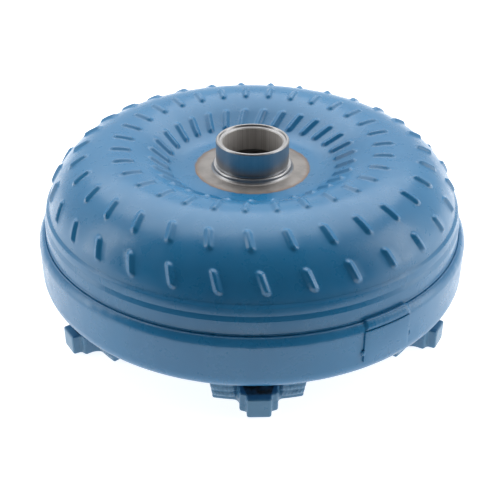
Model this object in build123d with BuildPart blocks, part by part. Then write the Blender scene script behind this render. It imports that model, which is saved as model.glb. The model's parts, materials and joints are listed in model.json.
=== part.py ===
from build123d import *
import os
from math import asin, atan2, cos, degrees, pi, radians, sin, sqrt, tan

# Six-lug lock-up torque converter, millimetres.
# The turning axis is Z. The drive lugs stand on Z = 0 and the pump hub points up.

# ---------------------------------------------------------------- driving dimensions
COVER_RADIUS = 155.0
COVER_WALL = 5.0
OVERALL_HEIGHT = 126.0
LUG_THICKNESS = 15.0
LUG_COUNT = 6
BLADE_COUNT = 31
TURBINE_BLADE_COUNT = 29
VANE_COUNT = 19
RUNNING_GAP = 0.05

# front cover, the engine side
COVER_FACE_Z = LUG_THICKNESS
COVER_INSIDE_Z = COVER_FACE_Z + COVER_WALL
COVER_FLAT_RADIUS = 131.0
COVER_SLANT = 30.6
COVER_CORNER_RADIUS = 11.6
COVER_RIM_Z = 58.3
COVER_BORE_RADIUS = 16.0
SKIRT_SEAT_Z = 46.0

# impeller shell, the transmission side
SHELL_WALL = 4.0
FLANGE_TOP_Z = 103.9
FLANGE_FLAT_RADIUS = 46.0
SHELL_BORE_RADIUS = 41.0
CROWN_RADIUS_AT = 98.0
CROWN_Z = 122.5
INNER_SLOPE = 33.0
CROWN_BEND = 49.0
CROWN_OUTER_SWEEP = 75.7
SKIRT_RADIUS = 149.95
SHOULDER_RADIUS = 149.6
CLOSURE_WELD_TOP_Z = 65.3
OVERLAP_AZIMUTHS = (25.2, 39.2)

# raised ribs over the blade tabs: surface radius, azimuth, lean from the meridian, length
RIB_WIDTH = 4.7
RIB_HEIGHT = 1.9
RIB_ROOT = 1.6
RIB_EDGE_RADIUS = 1.5
RIB_ROWS = [
    (66.7, -1.3, -15.0, 18.0),
    (92.5, -4.35, -2.0, 15.0),
    (122.4, -2.75, 12.0, 15.2),
    (140.8, 0.82, 19.0, 15.2),
]

# pump hub
HUB_RADIUS = 26.0
HUB_BORE_RADIUS = 21.3
HUB_FLANGE_RADIUS = 40.4
HUB_FLANGE_Z = 98.9

# drive lugs: radial reach and half widths
LUG_REACH = 150.8
LUG_NOSE_HALF_WIDTH = 8.1
LUG_BODY_HALF_WIDTH = 12.8
LUG_WING_OUTER_RADIUS = 134.0
LUG_WING_INNER_RADIUS = 120.0
LUG_WING_ANGLE = 13.2
LUG_BOLT_RADIUS = 136.0
LUG_HOLE_RADIUS = 5.1
LUG_HOLE_DEPTH = 12.0

# crank pilot
PILOT_RADIUS = 19.0
PILOT_END_Z = 3.0

# balance weight, measured as azimuths from the first lug
WEIGHT_AZIMUTHS = (25.0, 38.5)
WEIGHT_Z = (36.5, 59.9)
WEIGHT_THICKNESS = 1.3

# torus of the fluid circuit
BLADE_THICKNESS = 1.2
CORE_RADIUS_AT = 101.0
CORE_HALF_WIDTH = 16.0
CORE_HALF_HEIGHT = 12.0
CORE_WALL = 1.5
IMPELLER_EDGE_Z = 83.6
IMPELLER_CORE_Z = 84.0
CORE_INNER_RADIUS = CORE_RADIUS_AT - CORE_HALF_WIDTH - 0.1

# turbine
TURBINE_WALL = 2.0
TURBINE_FLANGE_Z = 66.0
TURBINE_FLANGE_RADIUS = 52.0
TURBINE_BOTTOM_Z = 50.0
TURBINE_SLOPE = 36.0
TURBINE_FIRST_BEND = 20.0
TURBINE_HALF_WIDTH = 36.6
TURBINE_TOP_Z = 81.5
TURBINE_BOSS_RADIUS = 34.0
TURBINE_HUB_RADIUS = 24.0
TURBINE_HUB_BOTTOM_Z = 23.3
TURBINE_HUB_TOP_Z = 68.0
TURBINE_RIVET_COUNT = 12
TURBINE_RIVET_RADIUS_AT = 43.0
INPUT_SPLINE_RADII = (13.5, 15.0)
INPUT_SPLINE_TEETH = 24

# damper between the lock-up piston and the turbine hub
SPRING_COUNT = 6
SPRING_RADIUS_AT = 88.0
SPRING_Z = 37.5
SPRING_LENGTH = 44.6
SPRING_COIL_RADIUS = 5.4
SPRING_WIRE_RADIUS = 1.45
SPRING_TURNS = 8
DRIVEN_PLATE_Z = (36.0, 39.0)
FRONT_RETAINER_Z = (31.0, 33.0)
REAR_RETAINER_Z = (42.0, 44.0)
SPACER_RADIUS_AT = 108.0

# lock-up piston
PISTON_FACE_Z = 21.45
PISTON_WEB = 4.0
PISTON_RADIUS = 124.5
LINING_RADII = (104.0, 122.0)
LINING_FACE_Z = 20.15

# stator and its one-way clutch
STATOR_Z = (71.5, 95.4)
CAP_THRUST_Z = (71.3, 95.6)
CLUTCH_Z = (73.8, 93.1)
VANE_Z = (75.0, 92.0)
RACE_RADIUS = 31.0
CAM_INNER_RADIUS = 36.4
CAM_OUTER_RADIUS = 47.0
CAP_RADIUS = 50.1
STATOR_RING_RADIUS = 57.0
VANE_TIP_RADIUS = 80.0
STATOR_RIM_RADIUS = 83.0
ROLLER_COUNT = 14
ROLLER_RADIUS = 3.5
STATOR_SPLINE_RADII = (18.5, 20.0)
STATOR_SPLINE_TEETH = 26

NEEDLE_RADIUS = 1.1
RACE_THICKNESS = 1.0

os.makedirs("parts", exist_ok=True)


# ---------------------------------------------------------------- shared helpers
def save(builder, name):
    """Name a finished piece and write it as its own file."""
    builder.part.label = name
    export_step(builder.part, f"parts/{name}.step")


def meridian(azimuth):
    """Plane holding the axis, whose x runs outward at an azimuth counted from the first lug."""
    angle = radians(azimuth - 90)
    return Plane(origin=(0, 0, 0), x_dir=(cos(angle), sin(angle), 0), z_dir=(sin(angle), -cos(angle), 0))


def polar(radius, angle):
    """Point at a radius and an angle from +X."""
    return (radius * cos(radians(angle)), radius * sin(radians(angle)))


def slant_z(radius):
    """Height just under the cover's slanting outside at a radius."""
    return COVER_FACE_Z + (radius - COVER_FLAT_RADIUS) * tan(radians(COVER_SLANT)) - 0.02


def dome_point(radius):
    """Height of the shell's outside at a radius, and its slope, positive where it falls outward."""
    slope = max(asin((radius - CROWN_RADIUS_AT) / CROWN_BEND), radians(-INNER_SLOPE))
    beyond = radius - CROWN_RADIUS_AT - CROWN_BEND * sin(slope)
    return CROWN_Z - CROWN_BEND * (1 - cos(slope)) - beyond * tan(slope), slope


def turned(outline):
    """A ring or shaft: the outline of (radius, height) points, turned about the axis."""
    with BuildPart() as piece:
        with BuildSketch(Plane.XZ):
            with BuildLine():
                Polyline(*outline, close=True)
            make_face()
        revolve(axis=Axis.Z)
    return piece


def ring(inner, outer, bottom, top):
    """A plain square-edged ring."""
    return turned([(inner, bottom), (outer, bottom), (outer, top), (inner, top)])


def repeated(piece, count, first=0.0):
    """The same solid placed evenly about the axis, as one group."""
    with BuildPart() as group:
        with PolarLocations(0, count, start_angle=first):
            add(piece.part)
    return group


def dome_line(depth):
    """Section of the impeller shell from the hub flange to the step, at a depth below its outside."""
    slope = radians(INNER_SLOPE)
    span = CROWN_RADIUS_AT - FLANGE_FLAT_RADIUS
    rise = CROWN_Z - FLANGE_TOP_Z
    straight = (rise - span * tan(slope / 2)) / (sin(slope) - cos(slope) * tan(slope / 2))
    bends = (span - straight * cos(slope)) / sin(slope)
    first_bend = bends - CROWN_BEND
    flat = Line((SHELL_BORE_RADIUS, FLANGE_TOP_Z - depth), (FLANGE_FLAT_RADIUS, FLANGE_TOP_Z - depth))
    hollow = JernArc(flat @ 1, flat % 1, first_bend + depth, INNER_SLOPE)
    rising = Line(hollow @ 1, hollow @ 1 + straight * (hollow % 1))
    crown = JernArc(rising @ 1, rising % 1, CROWN_BEND - depth, -INNER_SLOPE - CROWN_OUTER_SWEEP)
    return flat @ 0, crown @ 1


def turbine_line(depth):
    """Section of the turbine shell from its flange to its lip, at a depth below the fluid side."""
    slope = radians(TURBINE_SLOPE)
    span = CROWN_RADIUS_AT - TURBINE_FLANGE_RADIUS
    drop = TURBINE_FLANGE_Z - TURBINE_BOTTOM_Z
    straight = (drop - span * tan(slope / 2)) / (sin(slope) - cos(slope) * tan(slope / 2))
    second_bend = (span - straight * cos(slope)) / sin(slope) - TURBINE_FIRST_BEND
    flange_z = TURBINE_FLANGE_Z - depth
    flat = Line((TURBINE_BOSS_RADIUS + 0.1, flange_z), (TURBINE_FLANGE_RADIUS, flange_z))
    falling_bend = JernArc(flat @ 1, flat % 1, TURBINE_FIRST_BEND - depth, -TURBINE_SLOPE)
    falling = Line(falling_bend @ 1, falling_bend @ 1 + straight * (falling_bend % 1))
    hollow = JernArc(falling @ 1, falling % 1, second_bend + depth, TURBINE_SLOPE)
    bowl_depth = TURBINE_TOP_Z - TURBINE_BOTTOM_Z
    mean_bend = (TURBINE_HALF_WIDTH + bowl_depth) / 2
    bend_change = (TURBINE_HALF_WIDTH - bowl_depth) / 2 / (sqrt(2) - 1)
    floor = JernArc(hollow @ 1, hollow % 1, mean_bend + bend_change + depth, 45)
    wall = JernArc(floor @ 1, floor % 1, mean_bend - bend_change + depth, 45)
    return flat @ 0, wall @ 1


def blade_side(stations, offset):
    """One side of a curved blade seen along the axis, through stations of (radius, azimuth)."""
    points = []
    for radius, azimuth in stations:
        angle = radians(azimuth)
        points.append(Vector(*polar(radius, azimuth)) + Vector(-sin(angle), cos(angle)) * offset)
    return Spline(*points)


def needle_bearing(inner, outer, middle_z, count):
    """Cage and needles of a flat thrust bearing, as two groups."""
    needle_length = outer - inner - 3.0
    middle_radius = (inner + outer) / 2
    with BuildPart() as needle:
        with Locations(Location((middle_radius, 0, middle_z), (0, 90, 0))):
            Cylinder(NEEDLE_RADIUS, needle_length)
    with BuildPart() as cage:
        with BuildSketch(Plane.XY.offset(middle_z - 0.7)):
            Circle(outer)
            Circle(inner, mode=Mode.SUBTRACT)
            with PolarLocations(middle_radius, count):
                Rectangle(needle_length + 0.2, 2 * NEEDLE_RADIUS + 0.1, mode=Mode.SUBTRACT)
        extrude(amount=1.4)
    return cage, repeated(needle, count)


def internal_spline(bottom, top, radii, teeth):
    """Cut a straight-sided spline through the piece being built."""
    minor, major = radii
    slot_width = pi * minor / teeth
    with BuildSketch(Plane.XY.offset(bottom)) as splined_hole:
        Circle(minor)
        with PolarLocations(major / 2, teeth):
            Rectangle(major, slot_width)
    extrude(splined_hole.sketch, amount=top - bottom, mode=Mode.SUBTRACT)


# ---------------------------------------------------------------- housing: cover, pilot, lugs
slant = tan(radians(COVER_SLANT))
corner_z = COVER_FACE_Z + (COVER_RADIUS - COVER_FLAT_RADIUS) * slant
land_radius = 147.5
inner_flat_radius = COVER_FLAT_RADIUS - COVER_WALL * tan(radians(COVER_SLANT / 2))
land_z = COVER_INSIDE_Z + (land_radius - inner_flat_radius) * slant
with BuildPart() as front_cover:
    with BuildSketch(Plane.XZ):
        with BuildLine():
            outside = FilletPolyline(
                (COVER_BORE_RADIUS, COVER_FACE_Z),
                (COVER_FLAT_RADIUS, COVER_FACE_Z),
                (COVER_RADIUS, corner_z),
                (COVER_RADIUS, COVER_RIM_Z),
                radius=[6.0, COVER_CORNER_RADIUS],
            )
            inside = FilletPolyline(
                (COVER_BORE_RADIUS, COVER_INSIDE_Z),
                (inner_flat_radius, COVER_INSIDE_Z),
                (land_radius, land_z),
                (land_radius, SKIRT_SEAT_Z),
                radius=[2.0, 4.0],
            )
            Polyline(
                inside @ 1,
                (COVER_RADIUS - COVER_WALL, SKIRT_SEAT_Z),
                (COVER_RADIUS - COVER_WALL, COVER_RIM_Z),
                outside @ 1,
            )
            Line(inside @ 0, outside @ 0)
        make_face()
    revolve(axis=Axis.Z)
save(front_cover, "front_cover")

crank_pilot = turned([
    (0, PILOT_END_Z),
    (PILOT_RADIUS - 1, PILOT_END_Z),
    (PILOT_RADIUS, PILOT_END_Z + 1),
    (PILOT_RADIUS, COVER_FACE_Z),
    (COVER_BORE_RADIUS - 0.02, COVER_FACE_Z),
    (COVER_BORE_RADIUS - 0.02, COVER_INSIDE_Z),
    (10.5, COVER_INSIDE_Z),
    (10.0, COVER_INSIDE_Z - 0.5),
    (10.0, 9.0),
    (0, 9.0),
])
save(crank_pilot, "crank_pilot")

# one drive lug lying along +X: a nose, a stepped body round the tapped hole, two curved wings
wing_root = (sqrt(LUG_WING_OUTER_RADIUS**2 - 14.6**2), 14.6)
wing_root_angle = degrees(atan2(wing_root[1], wing_root[0]))
lug_side = [
    (LUG_REACH, LUG_NOSE_HALF_WIDTH),
    (145.2, LUG_NOSE_HALF_WIDTH),
    (143.9, LUG_BODY_HALF_WIDTH),
    (137.5, 12.4),
    wing_root,
]
with BuildPart() as drive_lug:
    with BuildSketch():
        with BuildLine():
            Polyline((LUG_REACH, 0), *lug_side)
            ThreePointArc(
                wing_root,
                polar(LUG_WING_OUTER_RADIUS, (LUG_WING_ANGLE + wing_root_angle) / 2),
                polar(LUG_WING_OUTER_RADIUS, LUG_WING_ANGLE),
            )
            Line(polar(LUG_WING_OUTER_RADIUS, LUG_WING_ANGLE), polar(LUG_WING_INNER_RADIUS, LUG_WING_ANGLE))
            ThreePointArc(
                polar(LUG_WING_INNER_RADIUS, LUG_WING_ANGLE),
                polar(LUG_WING_INNER_RADIUS, LUG_WING_ANGLE / 2),
                (LUG_WING_INNER_RADIUS, 0),
            )
            mirror(about=Plane.XZ)
        make_face()
    extrude(amount=LUG_THICKNESS)
    upright = drive_lug.edges().filter_by(Axis.Z)
    nose_corners = upright.filter_by(lambda edge: edge.center().X > 149)
    nose_roots = upright.filter_by(lambda edge: 144.5 < edge.center().X < 146)
    body_corners = upright.filter_by(lambda edge: 143 < edge.center().X < 144.5)
    wing_tips = upright.filter_by(lambda edge: abs(edge.center().Y) > 27)
    fillet(nose_corners, 1.8)
    fillet(nose_roots, 2.8)
    fillet(body_corners, 2.2)
    fillet(wing_tips, 2.5)
    with Locations(Location((LUG_BOLT_RADIUS, 0, 0), (180, 0, 0))):
        CounterSinkHole(LUG_HOLE_RADIUS, LUG_HOLE_RADIUS + 0.9, depth=LUG_HOLE_DEPTH, counter_sink_angle=90)
for number in range(LUG_COUNT):
    with BuildPart() as placed_lug:
        with Locations(Location((0, 0, 0), (0, 0, number * 360 / LUG_COUNT - 90))):
            add(drive_lug.part)
    save(placed_lug, f"drive_lug_{number + 1}")

# fillet welds that fill the gap between each wing's outer edge and the slanting cover
weld_reach = 138.6
weld_half_sweep = (LUG_WING_ANGLE - wing_root_angle + 1.2) / 2
weld_middle = (LUG_WING_ANGLE + wing_root_angle + 1.2) / 2
with BuildPart() as lug_bead:
    for side in (-1, 1):
        with BuildSketch(meridian(90 + side * weld_middle - weld_half_sweep)):
            with BuildLine():
                Polyline(
                    (COVER_FLAT_RADIUS, COVER_FACE_Z),
                    (LUG_WING_OUTER_RADIUS, COVER_FACE_Z),
                    (LUG_WING_OUTER_RADIUS, 3.2),
                    (135.6, 5.0),
                    (137.6, 9.0),
                    (weld_reach, 14.0),
                    (weld_reach, slant_z(weld_reach)),
                    (LUG_WING_OUTER_RADIUS, slant_z(LUG_WING_OUTER_RADIUS)),
                    close=True,
                )
            make_face()
        revolve(axis=Axis.Z, revolution_arc=2 * weld_half_sweep)
lug_welds = repeated(lug_bead, LUG_COUNT, first=-90)
save(lug_welds, "lug_welds")

# ---------------------------------------------------------------- housing: shell, closure weld, weight
with BuildPart() as impeller_shell:
    with BuildSketch(Plane.XZ):
        with BuildLine():
            outer_start, outer_end = dome_line(0)
            inner_start, inner_end = dome_line(SHELL_WALL)
            Line(outer_start, inner_start)
            outer_step = FilletPolyline(
                outer_end,
                (145.66, 84.9),
                (147.8, 83.6),
                (148.0, 77.9),
                (SHOULDER_RADIUS, 75.0),
                (SHOULDER_RADIUS, 66.0),
                radius=[0.4, 0.9, 1.2, 1.2],
            )
            inner_step = FilletPolyline(
                inner_end,
                (141.75, 82.0),
                (143.75, 80.7),
                (144.0, 75.3),
                (SKIRT_RADIUS - SHELL_WALL, 72.0),
                (SKIRT_RADIUS - SHELL_WALL, SKIRT_SEAT_Z + RUNNING_GAP),
                radius=[1.0, 1.0, 1.2, 1.2],
            )
            Polyline(
                outer_step @ 1,
                (SKIRT_RADIUS, CLOSURE_WELD_TOP_Z),
                (SKIRT_RADIUS, SKIRT_SEAT_Z + RUNNING_GAP),
                inner_step @ 1,
            )
        make_face()
    revolve(axis=Axis.Z)
    for row_radius, row_azimuth, lean, length in RIB_ROWS:
        row_z, slope = dome_point(row_radius)
        turn = radians(row_azimuth - 90)
        outward = Vector(cos(turn), sin(turn), 0)
        around = Vector(-sin(turn), cos(turn), 0)
        normal = outward * sin(slope) + Vector(0, 0, cos(slope))
        downhill = outward * cos(slope) - Vector(0, 0, sin(slope))
        along = downhill * cos(radians(lean)) + around * sin(radians(lean))
        root = outward * row_radius + Vector(0, 0, row_z) - normal * RIB_ROOT
        with BuildPart(mode=Mode.PRIVATE) as rib:
            with BuildSketch(Plane(origin=root, x_dir=along, z_dir=normal)):
                SlotOverall(length, RIB_WIDTH)
            extrude(amount=RIB_ROOT + RIB_HEIGHT)
            fillet(rib.faces().sort_by(Axis(root, normal))[-1].edges(), RIB_EDGE_RADIUS)
        with PolarLocations(0, BLADE_COUNT):
            add(rib.part)
save(impeller_shell, "impeller_shell")

# seam weld round the joint, with a doubled stretch where the bead starts and ends
with BuildPart() as closure_weld:
    with BuildSketch(Plane.XZ):
        with BuildLine():
            Polyline(
                (SKIRT_RADIUS, COVER_RIM_Z),
                (COVER_RADIUS, COVER_RIM_Z),
                (154.4, 59.6),
                (150.1, 65.2),
                (SKIRT_RADIUS, CLOSURE_WELD_TOP_Z),
                close=True,
            )
        make_face()
    revolve(axis=Axis.Z)
    with BuildSketch(meridian(OVERLAP_AZIMUTHS[0])):
        with BuildLine():
            Polyline(
                (151.5, 61.0),
                (154.6, 60.1),
                (155.3, 61.2),
                (152.4, 66.0),
                (SKIRT_RADIUS + RUNNING_GAP, 67.2),
                (SKIRT_RADIUS + RUNNING_GAP, 64.5),
                close=True,
            )
        make_face()
    revolve(axis=Axis.Z, revolution_arc=OVERLAP_AZIMUTHS[1] - OVERLAP_AZIMUTHS[0])
save(closure_weld, "closure_weld")

with BuildPart() as balance_weight:
    with BuildSketch(meridian(WEIGHT_AZIMUTHS[0])):
        with BuildLine():
            Polyline(
                (COVER_RADIUS, WEIGHT_Z[0]),
                (COVER_RADIUS + WEIGHT_THICKNESS, WEIGHT_Z[0]),
                (COVER_RADIUS + WEIGHT_THICKNESS, WEIGHT_Z[1]),
                (COVER_RADIUS, WEIGHT_Z[1]),
                close=True,
            )
        make_face()
    revolve(axis=Axis.Z, revolution_arc=WEIGHT_AZIMUTHS[1] - WEIGHT_AZIMUTHS[0])
save(balance_weight, "balance_weight")

tack_sweep = 1.0
tack_half_height = 2.6
with BuildPart() as weight_tacks:
    for tack_azimuth, tack_z in ((WEIGHT_AZIMUTHS[0] - tack_sweep, 43.8), (WEIGHT_AZIMUTHS[1], 44.5)):
        with BuildSketch(meridian(tack_azimuth)):
            with BuildLine():
                tack_foot = (COVER_RADIUS, tack_z - tack_half_height)
                tack_head = (COVER_RADIUS, tack_z + tack_half_height)
                ThreePointArc(tack_foot, (COVER_RADIUS + 1.8, tack_z), tack_head)
                Line(tack_foot, tack_head)
            make_face()
        revolve(axis=Axis.Z, revolution_arc=tack_sweep)
save(weight_tacks, "weight_tacks")

# ---------------------------------------------------------------- housing: pump hub and impeller inside
pump_hub = turned([
    (HUB_BORE_RADIUS, 107.5),
    (HUB_BORE_RADIUS, OVERALL_HEIGHT - 1.2),
    (HUB_BORE_RADIUS + 1.2, OVERALL_HEIGHT),
    (HUB_RADIUS - 0.8, OVERALL_HEIGHT),
    (HUB_RADIUS, OVERALL_HEIGHT - 0.8),
    (HUB_RADIUS, 109.4),
    (HUB_RADIUS - 0.5, 108.9),
    (HUB_RADIUS - 0.5, 107.7),
    (27.5, 107.7),
    (28.3, 107.0),
    (28.3, 105.0),
    (29.4, FLANGE_TOP_Z),
    (HUB_FLANGE_RADIUS, FLANGE_TOP_Z),
    (HUB_FLANGE_RADIUS, HUB_FLANGE_Z),
    (HUB_BORE_RADIUS + 1.7, HUB_FLANGE_Z),
    (HUB_BORE_RADIUS + 1.7, 106.5),
])
save(pump_hub, "pump_hub")
save(ring(HUB_FLANGE_RADIUS, SHELL_BORE_RADIUS, HUB_FLANGE_Z + 0.5, FLANGE_TOP_Z), "hub_weld")

# blade mean line as seen along the axis: the ribs lie over it
impeller_stations = [(58, 1.2), *[row[:2] for row in RIB_ROWS], (146, 1.9)]
with BuildPart() as impeller_blade:
    with BuildSketch(Plane.XZ):
        with BuildLine():
            fluid_start, fluid_end = dome_line(SHELL_WALL)
            Polyline(
                fluid_end,
                (fluid_end.X, IMPELLER_EDGE_Z),
                (CORE_INNER_RADIUS, IMPELLER_EDGE_Z),
                (CORE_INNER_RADIUS, 96.0),
                fluid_start,
            )
        make_face()
        Rectangle(62, OVERALL_HEIGHT, align=(Align.MIN, Align.MIN), mode=Mode.SUBTRACT)
        with Locations((CORE_RADIUS_AT, IMPELLER_CORE_Z)):
            Ellipse(CORE_HALF_WIDTH, CORE_HALF_HEIGHT, mode=Mode.SUBTRACT)
    revolve(axis=Axis.Z)
    with BuildSketch(Plane.XY.offset(IMPELLER_EDGE_Z - 2)):
        with BuildLine():
            left = blade_side(impeller_stations, BLADE_THICKNESS / 2)
            right = blade_side(impeller_stations, -BLADE_THICKNESS / 2)
            Line(left @ 0, right @ 0)
            Line(left @ 1, right @ 1)
        make_face()
    extrude(amount=50, mode=Mode.INTERSECT)
impeller_blades = repeated(impeller_blade, BLADE_COUNT, first=-90)
save(impeller_blades, "impeller_blades")

with BuildPart() as impeller_core_ring:
    with BuildSketch(Plane.XZ):
        with Locations((CORE_RADIUS_AT, IMPELLER_CORE_Z)):
            Ellipse(CORE_HALF_WIDTH, CORE_HALF_HEIGHT)
            Ellipse(CORE_HALF_WIDTH - CORE_WALL, CORE_HALF_HEIGHT - CORE_WALL, mode=Mode.SUBTRACT)
            Rectangle(50, 50, align=(Align.CENTER, Align.MAX), mode=Mode.SUBTRACT)
    revolve(axis=Axis.Z)
save(impeller_core_ring, "impeller_core_ring")

# ---------------------------------------------------------------- turbine
with BuildPart() as turbine_shell:
    with BuildSketch(Plane.XZ):
        with BuildLine():
            upper_start, upper_end = turbine_line(0)
            lower_start, lower_end = turbine_line(TURBINE_WALL)
            Line(upper_start, lower_start)
            Line(upper_end, lower_end)
        make_face()
    revolve(axis=Axis.Z)
    with BuildSketch(Plane.XY.offset(TURBINE_FLANGE_Z)):
        with PolarLocations(TURBINE_RIVET_RADIUS_AT, TURBINE_RIVET_COUNT):
            Circle(3.0)
    extrude(amount=-TURBINE_WALL, mode=Mode.SUBTRACT)
save(turbine_shell, "turbine_shell")

turbine_stations = [(56, 17.0), (75, 6.0), (98, 0.0), (120, -2.5), (137, -8.0)]
with BuildPart() as turbine_blade:
    with BuildSketch(Plane.XZ):
        with BuildLine():
            fluid_start, fluid_end = turbine_line(0)
            Polyline(
                fluid_end,
                (CORE_INNER_RADIUS, TURBINE_TOP_Z),
                (CORE_INNER_RADIUS, 73.0),
                fluid_start,
            )
        make_face()
        Rectangle(62, OVERALL_HEIGHT, align=(Align.MIN, Align.MIN), mode=Mode.SUBTRACT)
        with Locations((CORE_RADIUS_AT, TURBINE_TOP_Z)):
            Ellipse(CORE_HALF_WIDTH, CORE_HALF_HEIGHT, mode=Mode.SUBTRACT)
    revolve(axis=Axis.Z)
    with BuildSketch(Plane.XY.offset(TURBINE_BOTTOM_Z - 2)):
        with BuildLine():
            left = blade_side(turbine_stations, BLADE_THICKNESS / 2)
            right = blade_side(turbine_stations, -BLADE_THICKNESS / 2)
            Line(left @ 0, right @ 0)
            Line(left @ 1, right @ 1)
        make_face()
    extrude(amount=50, mode=Mode.INTERSECT)
turbine_blades = repeated(turbine_blade, TURBINE_BLADE_COUNT)
save(turbine_blades, "turbine_blades")

with BuildPart() as turbine_core_ring:
    with BuildSketch(Plane.XZ):
        with Locations((CORE_RADIUS_AT, TURBINE_TOP_Z)):
            Ellipse(CORE_HALF_WIDTH, CORE_HALF_HEIGHT)
            Ellipse(CORE_HALF_WIDTH - CORE_WALL, CORE_HALF_HEIGHT - CORE_WALL, mode=Mode.SUBTRACT)
            Rectangle(50, 50, align=(Align.CENTER, Align.MIN), mode=Mode.SUBTRACT)
    revolve(axis=Axis.Z)
save(turbine_core_ring, "turbine_core_ring")

hub_flange_bottom = TURBINE_FLANGE_Z - TURBINE_WALL - 4.5
with BuildPart() as turbine_hub:
    with BuildSketch(Plane.XZ):
        with BuildLine():
            Polyline(
                (12, TURBINE_HUB_BOTTOM_Z),
                (TURBINE_HUB_RADIUS - 0.6, TURBINE_HUB_BOTTOM_Z),
                (TURBINE_HUB_RADIUS, TURBINE_HUB_BOTTOM_Z + 0.6),
                (TURBINE_HUB_RADIUS, 28.0),
                (22.4, 28.0),
                (22.4, 30.6),
                (TURBINE_HUB_RADIUS, 30.6),
                (TURBINE_HUB_RADIUS, DRIVEN_PLATE_Z[1]),
                (26.5, DRIVEN_PLATE_Z[1]),
                (26.5, 52.0),
                (34.0, hub_flange_bottom),
                (49.0, hub_flange_bottom),
                (49.0, TURBINE_FLANGE_Z - TURBINE_WALL),
                (TURBINE_BOSS_RADIUS, TURBINE_FLANGE_Z - TURBINE_WALL),
                (TURBINE_BOSS_RADIUS, TURBINE_HUB_TOP_Z),
                (12, TURBINE_HUB_TOP_Z),
                close=True,
            )
        make_face()
    revolve(axis=Axis.Z)
    internal_spline(TURBINE_HUB_BOTTOM_Z, TURBINE_HUB_TOP_Z, INPUT_SPLINE_RADII, INPUT_SPLINE_TEETH)
    with BuildSketch(Plane.XY.offset(TURBINE_FLANGE_Z)):
        with PolarLocations(TURBINE_RIVET_RADIUS_AT, TURBINE_RIVET_COUNT):
            Circle(3.0)
    extrude(amount=-(TURBINE_FLANGE_Z - hub_flange_bottom), mode=Mode.SUBTRACT)
save(turbine_hub, "turbine_hub")


def rivet(radius_at, shank_radius, head_radius, bottom, top, head_height):
    """A round-head rivet standing at a radius, clamping from bottom to top."""
    with BuildPart() as piece:
        with Locations((radius_at, 0, bottom)):
            Cylinder(shank_radius, top - bottom, align=(Align.CENTER, Align.CENTER, Align.MIN))
        for start, direction in ((top, 1), (bottom, -1)):
            with BuildSketch(Plane.XY.offset(start)):
                with Locations((radius_at, 0)):
                    Circle(head_radius)
            extrude(amount=direction * head_height, taper=30)
    return piece


turbine_rivets = repeated(
    rivet(TURBINE_RIVET_RADIUS_AT, 3.0, 5.0, hub_flange_bottom, TURBINE_FLANGE_Z, 1.8),
    TURBINE_RIVET_COUNT,
)
save(turbine_rivets, "turbine_rivets")
save(ring(22.45, TURBINE_HUB_RADIUS + 0.03, 28.1, 30.5), "piston_inner_seal")

with BuildPart() as damper_driven_plate:
    with BuildSketch(Plane.XY.offset(DRIVEN_PLATE_Z[0])):
        Circle(103.0)
        Circle(TURBINE_HUB_RADIUS, mode=Mode.SUBTRACT)
        with PolarLocations(SPRING_RADIUS_AT, SPRING_COUNT):
            Rectangle(14.8, SPRING_LENGTH + 1.0, mode=Mode.SUBTRACT)
        with PolarLocations(52, SPRING_COUNT):
            Circle(8.0, mode=Mode.SUBTRACT)
    extrude(amount=DRIVEN_PLATE_Z[1] - DRIVEN_PLATE_Z[0])
save(damper_driven_plate, "damper_driven_plate")

# ---------------------------------------------------------------- damper drive side
half_pitch = 180 / SPRING_COUNT
with BuildPart() as damper_front_retainer:
    with BuildSketch(Plane.XY.offset(FRONT_RETAINER_Z[0])):
        Circle(118.0)
        Circle(62.0, mode=Mode.SUBTRACT)
        with PolarLocations(SPRING_RADIUS_AT, SPRING_COUNT):
            Rectangle(10.8, SPRING_LENGTH + 1.0, mode=Mode.SUBTRACT)
        with PolarLocations(115.9, SPRING_COUNT):
            Rectangle(5.8, 12.4, mode=Mode.SUBTRACT)
        with PolarLocations(SPACER_RADIUS_AT, SPRING_COUNT, start_angle=half_pitch):
            Circle(3.0, mode=Mode.SUBTRACT)
    extrude(amount=FRONT_RETAINER_Z[1] - FRONT_RETAINER_Z[0])
save(damper_front_retainer, "damper_front_retainer")

with BuildPart() as damper_rear_retainer:
    with BuildSketch(Plane.XY.offset(REAR_RETAINER_Z[0])):
        Circle(113.0)
        Circle(62.0, mode=Mode.SUBTRACT)
        with PolarLocations(SPRING_RADIUS_AT, SPRING_COUNT):
            Rectangle(10.8, SPRING_LENGTH + 1.0, mode=Mode.SUBTRACT)
        with PolarLocations(SPACER_RADIUS_AT, SPRING_COUNT, start_angle=half_pitch):
            Circle(3.0, mode=Mode.SUBTRACT)
    extrude(amount=REAR_RETAINER_Z[1] - REAR_RETAINER_Z[0])
save(damper_rear_retainer, "damper_rear_retainer")

with BuildPart() as spacer_rivet:
    with BuildSketch(Plane.XZ):
        with BuildLine():
            Polyline(
                (SPACER_RADIUS_AT, 29.6),
                (SPACER_RADIUS_AT + 3.6, 29.6),
                (SPACER_RADIUS_AT + 4.4, FRONT_RETAINER_Z[0]),
                (SPACER_RADIUS_AT + 3.0, FRONT_RETAINER_Z[0]),
                (SPACER_RADIUS_AT + 3.0, FRONT_RETAINER_Z[1]),
                (SPACER_RADIUS_AT + 4.5, FRONT_RETAINER_Z[1]),
                (SPACER_RADIUS_AT + 4.5, REAR_RETAINER_Z[0]),
                (SPACER_RADIUS_AT + 3.0, REAR_RETAINER_Z[0]),
                (SPACER_RADIUS_AT + 3.0, REAR_RETAINER_Z[1]),
                (SPACER_RADIUS_AT + 4.4, REAR_RETAINER_Z[1]),
                (SPACER_RADIUS_AT + 3.6, 45.4),
                (SPACER_RADIUS_AT, 45.4),
                close=True,
            )
        make_face()
    revolve(axis=Axis((SPACER_RADIUS_AT, 0, 0), (0, 0, 1)))
save(repeated(spacer_rivet, SPRING_COUNT, first=half_pitch), "damper_spacer_rivets")

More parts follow.
